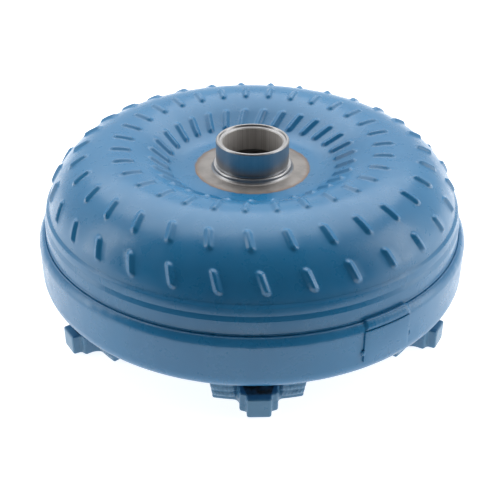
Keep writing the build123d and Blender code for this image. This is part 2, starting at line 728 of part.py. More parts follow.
coil_travel = SPRING_LENGTH - 2 * SPRING_WIRE_RADIUS
coil_foot = (SPRING_RADIUS_AT, -coil_travel / 2, SPRING_Z)
with BuildPart() as damper_spring:
    with BuildLine():
        coil = Helix(coil_travel / SPRING_TURNS, coil_travel, SPRING_COIL_RADIUS, coil_foot, (0, 1, 0))
    with BuildSketch(Plane(origin=coil @ 0, z_dir=coil % 0)):
        Circle(SPRING_WIRE_RADIUS)
    sweep(path=coil, is_frenet=True)
for number in range(SPRING_COUNT):
    with BuildPart() as placed_spring:
        with Locations(Location((0, 0, 0), (0, 0, number * 360 / SPRING_COUNT))):
            add(damper_spring.part)
    save(placed_spring, f"damper_spring_{number + 1}")

# ---------------------------------------------------------------- lock-up piston
piston_back = PISTON_FACE_Z + PISTON_WEB
piston_bore = TURBINE_HUB_RADIUS + 0.06
with BuildPart() as lockup_piston:
    with BuildSketch(Plane.XZ):
        with BuildLine():
            FilletPolyline(
                (piston_bore, 34.0),
                (28.5, 34.0),
                (28.5, piston_back),
                (119.5, piston_back),
                (119.5, 30.0),
                (PISTON_RADIUS, 30.0),
                (PISTON_RADIUS, PISTON_FACE_Z),
                (piston_bore, PISTON_FACE_Z),
                radius=[0.4, 0.6, 3.0, 2.0, 0.6, 0.6, 1.2, 0.4],
                close=True,
            )
        make_face()
    revolve(axis=Axis.Z)
    with BuildSketch(Plane.XY.offset(piston_back - 0.5)):
        with PolarLocations(115.5, SPRING_COUNT):
            Rectangle(4.2, 12.0)
    extrude(amount=34.5 - piston_back + 0.5)
save(lockup_piston, "lockup_piston")
save(ring(LINING_RADII[0], LINING_RADII[1], LINING_FACE_Z, PISTON_FACE_Z), "friction_lining")

# ---------------------------------------------------------------- stator with one-way clutch
with BuildPart() as stator_wheel:
    with BuildSketch(Plane.XZ):
        with BuildLine():
            Polyline(
                (CAM_OUTER_RADIUS, CLUTCH_Z[0]),
                (CAP_RADIUS, CLUTCH_Z[0]),
                (CAP_RADIUS, CLUTCH_Z[0] - 0.75),
                (CAP_RADIUS + 1.3, CLUTCH_Z[0] - 0.75),
                (CAP_RADIUS + 1.3, CLUTCH_Z[0] - 1.85),
                (CAP_RADIUS, CLUTCH_Z[0] - 1.85),
                (CAP_RADIUS, STATOR_Z[0]),
                (STATOR_RING_RADIUS - 0.8, STATOR_Z[0]),
                (STATOR_RING_RADIUS, STATOR_Z[0] + 0.8),
                (STATOR_RING_RADIUS, STATOR_Z[1] - 0.8),
                (STATOR_RING_RADIUS - 0.8, STATOR_Z[1]),
                (CAP_RADIUS, STATOR_Z[1]),
                (CAP_RADIUS, CLUTCH_Z[1] + 1.85),
                (CAP_RADIUS + 1.3, CLUTCH_Z[1] + 1.85),
                (CAP_RADIUS + 1.3, CLUTCH_Z[1] + 0.75),
                (CAP_RADIUS, CLUTCH_Z[1] + 0.75),
                (CAP_RADIUS, CLUTCH_Z[1]),
                (CAM_OUTER_RADIUS, CLUTCH_Z[1]),
                close=True,
            )
        make_face()
        with Locations(((VANE_TIP_RADIUS + STATOR_RIM_RADIUS) / 2, sum(VANE_Z) / 2)):
            Rectangle(STATOR_RIM_RADIUS - VANE_TIP_RADIUS, VANE_Z[1] - VANE_Z[0])
    revolve(axis=Axis.Z)
    with BuildPart(mode=Mode.PRIVATE) as vane:
        with BuildSketch(Plane.YZ.offset(STATOR_RING_RADIUS - 0.6)):
            with BuildLine():
                Spline((-5.0, 76.4), (-1.0, 77.0), (3.4, 81.5), (5.2, 87.0), (4.4, 91.6))
                Spline((-5.0, 76.4), (-4.4, 78.0), (0.4, 82.0), (2.8, 87.0), (3.7, 91.6))
                Line((4.4, 91.6), (3.7, 91.6))
            make_face()
        extrude(amount=VANE_TIP_RADIUS - STATOR_RING_RADIUS + 1.2)
    with PolarLocations(0, VANE_COUNT):
        add(vane.part)
save(stator_wheel, "stator_wheel")

roller_at = RACE_RADIUS + ROLLER_RADIUS + RUNNING_GAP
with BuildSketch() as pocket:
    with Locations(polar(roller_at, 0)):
        Circle(ROLLER_RADIUS + 0.1)
    with Locations(polar(36.0, -11)):
        Circle(3.3)
    make_hull()
with BuildPart() as clutch_cam_race:
    with BuildSketch(Plane.XY.offset(CLUTCH_Z[0] + RUNNING_GAP)):
        Circle(CAM_OUTER_RADIUS - 0.02)
        Circle(CAM_INNER_RADIUS, mode=Mode.SUBTRACT)
        with PolarLocations(0, ROLLER_COUNT):
            add(pocket.sketch, mode=Mode.SUBTRACT)
    extrude(amount=CLUTCH_Z[1] - CLUTCH_Z[0] - 2 * RUNNING_GAP)
save(clutch_cam_race, "clutch_cam_race")

roller_z = (CLUTCH_Z[0] + 0.4, CLUTCH_Z[1] - 0.4)
with BuildPart() as roller:
    with Locations((roller_at, 0, roller_z[0])):
        Cylinder(ROLLER_RADIUS, roller_z[1] - roller_z[0], align=(Align.CENTER, Align.CENTER, Align.MIN))
    chamfer(roller.edges().filter_by(GeomType.CIRCLE), 0.4)
save(repeated(roller, ROLLER_COUNT), "clutch_rollers")

# folded leaf springs that hold each roller against its ramp
with BuildPart() as leaf_spring:
    with BuildSketch(Plane.XY.offset(roller_z[0] + 2)):
        with BuildLine():
            Polyline(*[polar(34.4 if fold % 2 else 37.4, -6.8 - fold) for fold in range(5)])
        trace(line_width=0.35)
    extrude(amount=roller_z[1] - roller_z[0] - 4)
save(repeated(leaf_spring, ROLLER_COUNT), "clutch_springs")

with BuildPart() as clutch_inner_race:
    with BuildSketch(Plane.XY.offset(CLUTCH_Z[0] + 0.1)):
        Circle(RACE_RADIUS)
    extrude(amount=CLUTCH_Z[1] - CLUTCH_Z[0] - 0.2)
    chamfer(clutch_inner_race.edges().filter_by(GeomType.CIRCLE), 0.5)
    internal_spline(CLUTCH_Z[0], CLUTCH_Z[1], STATOR_SPLINE_RADII, STATOR_SPLINE_TEETH)
save(clutch_inner_race, "clutch_inner_race")

for name, cap_z, thrust_z, out in (
    ("stator_front_cap", CLUTCH_Z[0], CAP_THRUST_Z[0], -1),
    ("stator_rear_cap", CLUTCH_Z[1], CAP_THRUST_Z[1], 1),
):
    step_z = cap_z + out * 0.75
    cap = turned([
        (27.0, cap_z),
        (CAP_RADIUS - 0.05, cap_z),
        (CAP_RADIUS - 0.05, step_z),
        (48.4, step_z),
        (48.4, thrust_z),
        (27.0, thrust_z),
    ])
    save(cap, name)
for name, ring_z in (
    ("stator_front_snap_ring", CLUTCH_Z[0] - 1.8),
    ("stator_rear_snap_ring", CLUTCH_Z[1] + 0.8),
):
    with BuildPart() as snap_ring:
        with BuildSketch(meridian(10)):
            with BuildLine():
                Polyline(
                    (48.5, ring_z),
                    (CAP_RADIUS + 1.2, ring_z),
                    (CAP_RADIUS + 1.2, ring_z + 1.0),
                    (48.5, ring_z + 1.0),
                    close=True,
                )
            make_face()
        revolve(axis=Axis.Z, revolution_arc=340)
    save(snap_ring, name)

# ---------------------------------------------------------------- thrust bearings
for name, inner, outer, count, middle_z, race_z in (
    ("front_bearing", 12.8, 22.8, 18, TURBINE_HUB_BOTTOM_Z - 1.15, COVER_INSIDE_Z),
    ("middle_bearing", 26.0, 37.5, 24, TURBINE_HUB_TOP_Z + RACE_THICKNESS + 1.15, TURBINE_HUB_TOP_Z),
    ("rear_bearing", 28.5, 40.0, 24, CAP_THRUST_Z[1] + 1.15, HUB_FLANGE_Z - RACE_THICKNESS),
):
    cage, needles = needle_bearing(inner, outer, middle_z, count)
    save(cage, f"{name}_cage")
    save(needles, f"{name}_needles")
    save(ring(inner - 0.5, outer + 0.2, race_z, race_z + RACE_THICKNESS), f"{name}_race")
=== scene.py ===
"""Looks of the torque converter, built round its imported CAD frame. Metres, +Z along the turning axis."""

import json
import math

import bmesh
import bpy
import numpy as np
from mathutils import Matrix, Vector, noise


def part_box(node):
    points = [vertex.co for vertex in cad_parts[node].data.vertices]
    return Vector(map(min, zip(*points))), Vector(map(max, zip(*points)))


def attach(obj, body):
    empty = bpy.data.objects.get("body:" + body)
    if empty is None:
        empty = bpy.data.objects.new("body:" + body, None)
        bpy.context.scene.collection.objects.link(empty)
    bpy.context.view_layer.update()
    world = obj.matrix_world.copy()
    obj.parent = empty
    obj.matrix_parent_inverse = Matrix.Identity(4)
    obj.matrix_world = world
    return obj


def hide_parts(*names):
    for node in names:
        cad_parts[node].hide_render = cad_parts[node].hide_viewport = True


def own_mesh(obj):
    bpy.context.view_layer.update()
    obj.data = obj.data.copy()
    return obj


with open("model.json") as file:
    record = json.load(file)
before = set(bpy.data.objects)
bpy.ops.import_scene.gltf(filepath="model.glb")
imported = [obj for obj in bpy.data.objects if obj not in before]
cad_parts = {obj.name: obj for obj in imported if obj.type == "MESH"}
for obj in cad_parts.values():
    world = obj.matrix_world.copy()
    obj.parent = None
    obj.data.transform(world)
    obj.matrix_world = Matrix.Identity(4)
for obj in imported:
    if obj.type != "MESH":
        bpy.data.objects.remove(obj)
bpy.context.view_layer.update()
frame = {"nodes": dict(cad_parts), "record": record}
nodes = frame["nodes"]
bpy.context.scene.view_settings.view_transform = "Standard"

MM = 0.001

# ---------------------------------------------------------------- sizes read from the frame
HUB_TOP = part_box("pump_hub")[1].z
COVER_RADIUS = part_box("front_cover")[1].x
SKIRT_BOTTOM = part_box("impeller_shell")[0].z

# impeller shell: the same driving dimensions as its CAD node, in metres
FLANGE_TOP = HUB_TOP - 22.1 * MM
SHELL_BORE = 41.0 * MM
SHELL_WALL = 4.0 * MM
FLANGE_FLAT = 46.0 * MM
CROWN_AT = 98.0 * MM
CROWN_TOP = HUB_TOP - 3.5 * MM
CROWN_BEND = 49.0 * MM
INNER_SLOPE = math.radians(33.0)
OUTER_SWEEP = math.radians(75.7)
SKIRT = 149.95 * MM
STEP = [(145.66, 84.9, 0.4), (147.8, 83.6, 0.9), (148.0, 77.9, 1.2), (149.6, 75.0, 1.2), (149.6, 66.0, 0.4)]

# raised ribs: surface radius, azimuth from the first lug, lean from the meridian, length
RIBS = [
    (66.7, -1.3, -15.0, 18.0),
    (92.5, -4.35, -2.0, 15.0),
    (122.4, -2.75, 12.0, 15.2),
    (140.8, 0.82, 19.0, 15.2),
]
RIB_COUNT = 31
RIB_WIDTH = 4.7 * MM
RIB_HEIGHT = 1.9 * MM
RIB_SPREAD = 1.55
RIB_BAND = 1.05  # half width of the finely divided strip over a rib, in half widths of its spread
PITCH = 2 * math.pi / RIB_COUNT

# closure weld and its doubled stretch, as azimuths from the first lug
OVERLAP = (25.2, 39.2)
SEAM_RADIUS = 153

# drive lugs, in millimetres and degrees: six alike, the first on -Y
LUG_COUNT = 6
LUG_TURN = 60
LUG_THICKNESS = 15.0
LUG_HOLE_AT = 136

# damper springs, in millimetres: how far out they sit
SPRING_SHIFT = 0.8

# how far the floor lies under the lug faces, so that the two don't coincide
FLOOR_DROP = 0.3 * MM


# ---------------------------------------------------------------- mesh helpers
def rounded(corners, step=0.2 * MM):
    """Points along a path whose corners (x, y, radius) are rounded, at most a step apart."""
    points = [np.array(corners[0][:2])]
    for before, here, after in zip(corners, corners[1:], corners[2:]):
        corner = np.array(here[:2])
        back = np.array(before[:2]) - corner
        ahead = np.array(after[:2]) - corner
        back /= np.linalg.norm(back)
        ahead /= np.linalg.norm(ahead)
        half = math.acos(np.clip(back @ ahead, -1, 1)) / 2
        radius = max(here[2], 1e-6)
        middle = back + ahead
        centre = corner + middle / np.linalg.norm(middle) * radius / math.sin(half)
        start = corner + back * radius / math.tan(half)
        spoke = start - centre
        turn = math.copysign(math.pi - 2 * half, back[1] * ahead[0] - back[0] * ahead[1])
        count = max(4, int(radius * abs(turn) / step))
        for i in range(count + 1):
            c, s = math.cos(turn * i / count), math.sin(turn * i / count)
            points.append(centre + np.array([c * spoke[0] - s * spoke[1], s * spoke[0] + c * spoke[1]]))
    points.append(np.array(corners[-1][:2]))
    return np.array(points)


def along(points):
    """Length run along a path at each of its points."""
    return np.concatenate([[0], np.cumsum(np.linalg.norm(np.diff(points, axis=0), axis=1))])


def piece(name, vertices, faces, body, smooth=35, caps=()):
    """A mesh object that rides on a body. Edges sharper than smooth stay crisp; caps are levels to close."""
    mesh = bpy.data.meshes.new(name)
    mesh.from_pydata([tuple(v) for v in vertices], [], faces)
    tidy = bmesh.new()
    tidy.from_mesh(mesh)
    for level in caps:
        rim = [e for e in tidy.edges if e.is_boundary and all(abs(v.co.z - level) < 1e-7 for v in e.verts)]
        bmesh.ops.triangle_fill(tidy, edges=rim, use_beauty=True)
    bmesh.ops.recalc_face_normals(tidy, faces=tidy.faces)
    tidy.to_mesh(mesh)
    tidy.free()
    mesh.set_sharp_from_angle(angle=math.radians(smooth))
    for face in mesh.polygons:
        face.use_smooth = True
    made = bpy.data.objects.new(name, mesh)
    bpy.context.scene.collection.objects.link(made)
    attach(made, body)
    return made


def grid_faces(rows, columns, wrap_rows=False, wrap_columns=True, first=0):
    """Quads over a grid of rows by columns numbered row by row."""
    last_row = rows if wrap_rows else rows - 1
    last_column = columns if wrap_columns else columns - 1
    return [
        (
            first + i * columns + j,
            first + i * columns + (j + 1) % columns,
            first + (i + 1) % rows * columns + (j + 1) % columns,
            first + (i + 1) % rows * columns + j,
        )
        for i in range(last_row)
        for j in range(last_column)
    ]


def lathe(name, outline, columns, body, smooth=35):
    """A closed outline of (radius, height) points turned about the axis."""
    turns = np.arange(columns) * 2 * math.pi / columns
    rows = [[(r * math.cos(t), r * math.sin(t), z) for t in turns] for r, z in outline]
    vertices = [v for row in rows for v in row]
    return piece(name, vertices, grid_faces(len(outline), columns, wrap_rows=True), body, smooth)


def smoothstep(low, high, value):
    """0 below low, 1 above high, smooth in between."""
    t = np.clip((value - low) / (high - low), 0, 1)
    return t * t * (3 - 2 * t)


# ---------------------------------------------------------------- impeller shell with its ribs
def dome_corners():
    """The shell's outside from the hub flange to the foot of its skirt, as corners with radii."""
    centre = np.array([CROWN_AT, CROWN_TOP - CROWN_BEND])
    tangent = centre + CROWN_BEND * np.array([-math.sin(INNER_SLOPE), math.cos(INNER_SLOPE)])
    foot = tangent[0] - (tangent[1] - FLANGE_TOP) / math.tan(INNER_SLOPE)
    first_bend = (foot - FLANGE_FLAT) / math.tan(INNER_SLOPE / 2)
    half_turn = (INNER_SLOPE + OUTER_SWEEP) / 2
    lean = (OUTER_SWEEP - INNER_SLOPE) / 2
    reach = CROWN_BEND / math.cos(half_turn)
    peak = centre + reach * np.array([math.sin(lean), math.cos(lean)])
    steps = [(r * MM, z * MM, bend * MM) for r, z, bend in STEP]
    return [
        (SHELL_BORE, FLANGE_TOP, 0),
        (foot, FLANGE_TOP, first_bend),
        (*peak, CROWN_BEND),
        *steps,
        (SKIRT, 65.3 * MM, 0.4 * MM),
        (SKIRT, SKIRT_BOTTOM, 0),
    ]


def rib_rows(path, run):
    """Each rib row as (run along the dome, radius, azimuth, lean, half length of its straight core)."""
    dome = path[:, 0] < 145.4 * MM
    rows = []
    for radius, azimuth, lean, length in RIBS:
        at = float(np.interp(radius * MM, path[dome, 0], run[dome]))
        half = (length * MM - RIB_WIDTH) / 2
        rows.append((at, radius * MM, math.radians(azimuth), math.radians(lean), half))
    return rows


def rib_line(rows, run):
    """Azimuth of one rib's centre line at each run along the dome: straight ribs with smooth links."""
    knots, azimuths, slopes = [], [], []
    for at, radius, azimuth, lean, half in rows:
        reach = (half + RIB_WIDTH) * math.cos(lean)
        slope = math.tan(lean) / radius
        for end in (-reach, reach):
            knots.append(at + end)
            azimuths.append(azimuth + end * slope)
            slopes.append(slope)
    line = np.interp(run, knots, azimuths)
    for k in range(1, len(knots) - 1, 2):
        gap = knots[k + 1] - knots[k]
        t = np.clip((run - knots[k]) / gap, 0, 1)
        inside = (run > knots[k]) & (run < knots[k + 1])
        bent = (
            (2 * t**3 - 3 * t**2 + 1) * azimuths[k]
            + (t**3 - 2 * t**2 + t) * gap * slopes[k]
            + (3 * t**2 - 2 * t**3) * azimuths[k + 1]
            + (t**3 - t**2) * gap * slopes[k + 1]
        )
        line = np.where(inside, bent, line)
    return line


def rib_height(rows, run, across):
    """Height of the ribs over the plain shell, at a run along the dome and a distance across a rib."""
    height = np.zeros_like(across)
    for at, _, _, lean, half in rows:
        down = (run - at) / math.cos(lean)
        past = np.maximum(np.abs(down) - half, 0)
        distance = np.hypot(past, across * math.cos(lean)) / (RIB_WIDTH / 2)
        bead = 1 - smoothstep(0.0, RIB_SPREAD, distance)
        height = np.maximum(height, RIB_HEIGHT * bead)
    return height


def impeller_skin():
    """The impeller shell: a pressed dome with smooth ribs that run into the sheet, and its inside."""
    path = rounded(dome_corners())
    run = along(path)
    rows = rib_rows(path, run)
    stations = set(np.arange(0, run[-1], 2.2 * MM)) | {run[-1]}
    for at, _, _, _, half in rows:
        reach = half + 0.85 * RIB_WIDTH
        stations = {s for s in stations if abs(s - at) > reach}
        stations |= set(np.arange(at - reach, at + reach, 0.78 * MM))
    step_start = float(run[np.argmax(path[:, 0] > 145.3 * MM)])
    stations = {s for s in stations if s < step_start}
    stations |= {float(s) for s in run[run >= step_start][::2]} | {run[-1]}
    outer_run = np.array(sorted(stations))
    outer = np.stack([np.interp(outer_run, run, path[:, k]) for k in (0, 1)], axis=1)
    inside_path = np.array([(r, z) for r, z in inner_outline(path, run)])
    tangent = np.gradient(outer, outer_run, axis=0)
    tangent /= np.linalg.norm(tangent, axis=1)[:, None]
    normal = np.stack([-tangent[:, 1], tangent[:, 0]], axis=1)

    fine = np.linspace(-1, 1, 15)
    coarse = np.linspace(0, 1, 6)[1:]
    centre = rib_line(rows, outer_run)
    vertices = []
    for i, (r, z) in enumerate(outer):
        band = RIB_BAND * RIB_SPREAD * RIB_WIDTH / 2 / r
        offsets = np.concatenate([fine * band, band + coarse * (PITCH - 2 * band)])[:-1]
        lift = rib_height(rows, outer_run[i], offsets * r)
        azimuth = (centre[i] + offsets)[None, :] + (np.arange(RIB_COUNT) * PITCH)[:, None]
        height = np.tile(lift, RIB_COUNT)
        for a, h in zip(azimuth.ravel(), height):
            radius = r + normal[i, 0] * h
            vertices.append((radius * math.sin(a), -radius * math.cos(a), z + normal[i, 1] * h))
    columns = len(vertices) // len(outer)
    for r, z in inside_path:
        band = RIB_BAND * RIB_SPREAD * RIB_WIDTH / 2 / r
        offsets = np.concatenate([fine * band, band + coarse * (PITCH - 2 * band)])[:-1]
        azimuth = (centre[0] + offsets)[None, :] + (np.arange(RIB_COUNT) * PITCH)[:, None]
        vertices += [(r * math.sin(a), -r * math.cos(a), z) for a in azimuth.ravel()]
    faces = grid_faces(len(outer) + len(inside_path), columns, wrap_rows=True)
    made = piece("impeller_shell_skin", vertices, faces, "housing", smooth=75)
    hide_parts("impeller_shell")
    return made


def inner_outline(path, run):
    """The shell's inside, a wall's thickness under the outside, from the skirt back to the hub flange."""
    stations = np.linspace(run[-1], 0, 26)
    points = np.stack([np.interp(stations, run, path[:, k]) for k in (0, 1)], axis=1)
    tangent = np.gradient(points, stations, axis=0)
    tangent /= np.linalg.norm(tangent, axis=1)[:, None]
    inside = points + SHELL_WALL * np.stack([tangent[:, 1], -tangent[:, 0]], axis=1)
    inside[:, 0] = np.clip(inside[:, 0], SHELL_BORE, SKIRT - SHELL_WALL)
    inside[:, 1] = np.maximum(inside[:, 1], SKIRT_BOTTOM)
    return inside


# ---------------------------------------------------------------- painted weld beads
def ripple(turn, pitch, seed):
    """Chevron marks that a travelling weld pool leaves, from 0 to 1, along a length turn."""
    wander = noise.noise(Vector((turn / pitch * 0.31, seed, 0.0)))
    return (0.5 + 0.5 * math.cos(2 * math.pi * (turn / pitch + 0.6 * wander))) ** 2


def closure_bead():
    """Seam weld round the drum, with low ripples and a second bead laid over its start."""
    columns = 1440
    face = [
        (155.0, 58.35),
        (155.0, 59.0),
        (154.85, 60.0),
        (154.4, 61.2),
        (153.75, 62.4),
        (152.95, 63.5),
        (152.1, 64.3),
        (151.2, 64.75),
        (150.5, 64.75),
        (150.0, 64.3),
    ]
    back = [(149.6, 63.6), (149.96, 58.35)]
    first, last = (math.radians(a) for a in OVERLAP)
    front = len(face)
    vertices = []
    for index, (r, z) in enumerate(face + back):
        share = min(index / (front - 1), 1)
        swell = math.sin(math.pi * share) if index < front else 0
        for j in range(columns):
            azimuth = 2 * math.pi * j / columns
            run = azimuth * SEAM_RADIUS
            waver = noise.noise(Vector((math.sin(azimuth) * 21, math.cos(azimuth) * 21, 0.4 * share)))
            mark = ripple(run + 1.2 * swell, 2.3, 3.0)
            over = smoothstep(first, first + 0.012, azimuth) * (1 - smoothstep(last - 0.02, last, azimuth))
            second = over * (0.95 + 0.05 * ripple(run, 3.4, 8.0)) * swell**0.6
            lift = swell * (0.06 * mark + 0.20 * waver - 0.08) + 0.7 * second
            rise = over * (1.5 - 0.5 * share) if index < front else 0
            radius = (r + 0.77 * lift) * MM
            height = (z + 0.64 * lift + rise) * MM
            radius = max(radius, 149.5 * MM)
            vertices.append((radius * math.sin(azimuth), -radius * math.cos(azimuth), height))
    faces = grid_faces(front + len(back), columns, wrap_rows=True)
    made = piece("closure_weld_bead", vertices, faces, "housing", smooth=75)
    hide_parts("closure_weld")
    return made


def lug_beads():
    """Fillet welds that hold each lug's wings: three stacked passes with scalloped ripples, rounded ends."""
    middle, back, reach, low, high = 132.4, 132.2, 6.4, 3.1, 20.0
    turns = 40
    steps = 56
    inner, low_end, high_end = 6.0, 13.1, 14.0
    vertices, faces = [], []
    for number in range(LUG_COUNT):
        for side in (-1, 1):
            start = len(vertices)
            seed = 5.0 + number * 2 + side
            for i in range(turns + 1):
                share = i / turns
                passes = abs(math.sin(3 * math.pi * share)) ** 0.7
                bulge = 0.36 + 0.64 * share ** 0.8
                sweep = math.radians(low_end + (high_end - low_end) * share - inner)
                for j in range(steps + 1):
                    t = j / steps
                    end = max(0.0, 1 - abs(2 * t - 1) ** 5) ** 0.5
                    run = t * sweep * LUG_HOLE_AT
                    curl = ripple(run + 1.6 * math.sin(3 * math.pi * share), 2.5, seed)
                    waver = noise.noise(Vector((run * 0.22, share * 4, seed)))
                    out = reach * (bulge + 0.17 * passes - 0.11 + 0.05 * curl * passes + 0.07 * waver)
                    z = low + (high - low) * share + 0.5 * waver
                    radius = middle + out * (0.25 + 0.75 * end)
                    angle = math.radians(LUG_TURN * number) + side * (math.radians(inner) + sweep * t)
                    vertices.append((radius * math.sin(angle) * MM, -radius * math.cos(angle) * MM, z * MM))
            for z, far in ((high, high_end), (low, low_end)):
                for j in range(steps + 1):
                    angle = math.radians(LUG_TURN * number + side * (inner + (far - inner) * j / steps))
                    vertices.append((back * math.sin(angle) * MM, -back * math.cos(angle) * MM, z * MM))
            rows, columns = turns + 3, steps + 1
            faces += grid_faces(rows, columns, True, False, start)
            for j in (0, steps):
                faces.append([start + i * columns + j for i in range(rows)])
    made = piece("lug_weld_beads", vertices, faces, "housing", smooth=75)
    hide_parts("lug_welds")
    return made


def lug_outline():
    """A drive lug seen from below, x outward: nose, stepped body and two wings, its corners softened."""
    root = math.asin(14.6 / 134)
    tip = math.radians(13.2)
    outer = [(134 * math.cos(a), 134 * math.sin(a)) for a in np.linspace(root, tip, 24)]
    inner = [(120 * math.cos(a), 120 * math.sin(a)) for a in np.linspace(tip, 0, 36)]
    half = [(150.8, 0), (150.8, 8.1), (145.2, 8.1), (143.9, 12.8), (137.5, 12.4), *outer, *inner]
    loop = np.array(half + [(x, -y) for x, y in half[-2::-1]])
    run = along(loop)
    count = 336
    even = np.linspace(0, run[-1], count, endpoint=False)
    points = np.stack([np.interp(even, run, loop[:, k]) for k in (0, 1)], axis=1)
    for _ in range(12):
        points = (np.roll(points, 1, axis=0) + 2 * points + np.roll(points, -1, axis=0)) / 4
    tangent = np.roll(points, -1, axis=0) - np.roll(points, 1, axis=0)
    tangent /= np.linalg.norm(tangent, axis=1)[:, None]
    return points, np.stack([tangent[:, 1], -tangent[:, 0]], axis=1)


def forged_lug(number):
    """A drive lug with the soft edges of a forging and its blind tapped hole."""
    points, outward = lug_outline()
    low_bend, high_bend = 1.6, 1.2
    quarter = [math.radians(a) for a in (0, 22.5, 45, 67.5, 90)]
    rows = [(low_bend * (1 - math.sin(q)), low_bend * (1 - math.cos(q))) for q in quarter]
    rows += [(0, 5.0), (0, 10.0)]
    for q in quarter[::-1]:
        rows.append((high_bend * (1 - math.sin(q)), LUG_THICKNESS - high_bend * (1 - math.cos(q))))
    turn = math.radians(LUG_TURN * number - 90)
    c, s = math.cos(turn), math.sin(turn)
    vertices = []
    for inset, z in rows:
        for x, y in points - inset * outward:
            vertices.append(((c * x - s * y) * MM, (s * x + c * y) * MM, z * MM))
    faces = grid_faces(len(rows), len(points))
    start = len(vertices)
    segments = 40
    hole_depth = 12.0
    hole = [(6.0, 0), (5.1, 0.9), (5.1, hole_depth)]
    for r, z in hole:
        for k in range(segments):
            around = 2 * math.pi * k / segments
            x, y = LUG_HOLE_AT + r * math.cos(around), r * math.sin(around)
            vertices.append(((c * x - s * y) * MM, (s * x + c * y) * MM, z * MM))
    faces += grid_faces(len(hole), segments, first=start)
    levels = (0.0, hole_depth * MM, LUG_THICKNESS * MM)
    made = piece(f"forged_lug_{number + 1}", vertices, faces, "housing", caps=levels)
    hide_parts(f"drive_lug_{number + 1}")
    return made


def tack_beads():
    """The two blobs of weld that hold the balance weight to the cover."""
    vertices, faces = [], []
    rings, segments = 9, 20
    for azimuth, z, height, width in ((24.9, 43.8, 2.7, 1.7), (38.8, 44.5, 2.3, 1.0)):
        start = len(vertices)
        middle = math.radians(azimuth)
        for i in range(rings + 1):
            share = i / rings
            for j in range(segments):
                turn = 2 * math.pi * j / segments
                bump = 1 + 0.16 * noise.noise(Vector((2 * math.cos(turn), 2 * math.sin(turn), azimuth)))
                up = height * share * bump * math.sin(turn)
                side = width * share * bump * math.cos(turn)
                out = COVER_RADIUS / MM - 0.2 + 1.9 * math.sqrt(max(0, 1 - share**2)) - 0.3 * (share == 1)
                angle = middle + side / 155
                vertices.append((out * math.sin(angle) * MM, -out * math.cos(angle) * MM, (z + up) * MM))
        faces += grid_faces(rings + 1, segments, first=start)
    made = piece("weight_tack_beads", vertices, faces, "housing", smooth=80)
    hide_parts("weight_tacks")
    return made


# ---------------------------------------------------------------- turned hub
def turned_hub():
    """The pump hub: journal, chamfers, undercut, foot ring and flange."""
    top = HUB_TOP / MM
    outline = rounded(
        [
            (r * MM, z * MM, bend * MM)
            for r, z, bend in (
                (21.3, 112, 0),
                (21.3, top - 2.2, 0.15),
                (22.0, top - 1.45, 0.25),
                (23.6, top - 1.4, 0.12),
                (24.0, top - 0.02, 0.2),
                (25.2, top - 0.02, 0.3),
                (26.0, top - 0.9, 0.3),
                (26.0, 109.5, 0.15),
                (25.4, 108.9, 0.15),
                (25.4, 107.6, 0.3),
                (27.6, 107.6, 0.5),
                (28.2, 106.8, 0.5),
                (28.2, 105.4, 0.6),
                (29.6, 103.9, 1.4),
                (40.4, 103.9, 0.1),
                (40.4, 98.9, 0.3),
                (23.0, 98.9, 0.3),
                (23.0, 106.5, 0.2),
                (21.3, 107.5, 0.2),
                (21.3, 112, 0),
            )
        ],
        step=0.15 * MM,
    )[:-1]
    made = lathe("pump_hub_turned", outline, 240, "housing", smooth=50)
    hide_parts("pump_hub")
    return made


# ---------------------------------------------------------------- damper springs
def damper_spring(number):
    """A coil spring of the damper.

    It is slim and sits a little outward, so that the driven plate's window swings past it on both sides.
    """
    node = f"damper_spring_{number}"
    low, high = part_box(node)
    middle = np.array((low + high) / 2)
    outward = np.array([middle[0], middle[1], 0.0])
    outward /= np.linalg.norm(outward)
    length, coil, wire, turns = 41.7 * MM, 4.65 * MM, 1.42 * MM, 8
    axis = np.array([-outward[1], outward[0], 0.0])
    seat = middle + SPRING_SHIFT * MM * outward
    steps, sides = 24 * turns, 10
    vertices = []
    for i in range(steps + 1):
        t = i / steps
        turn = 2 * math.pi * turns * t
        spoke = outward * math.cos(turn) + np.array([0.0, 0.0, 1.0]) * math.sin(turn)
        centre = seat + axis * length * (t - 0.5) + spoke * coil
        for j in range(sides):
            around = 2 * math.pi * j / sides
            vertices.append(centre + wire * (spoke * math.cos(around) + axis * math.sin(around)))
    faces = grid_faces(steps + 1, sides)
    faces += [list(range(sides)), [steps * sides + j for j in range(sides)]]
    made = piece(f"damper_spring_coil_{number}", vertices, faces, "damper", smooth=60)
    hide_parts(node)
    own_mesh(made)
    return made


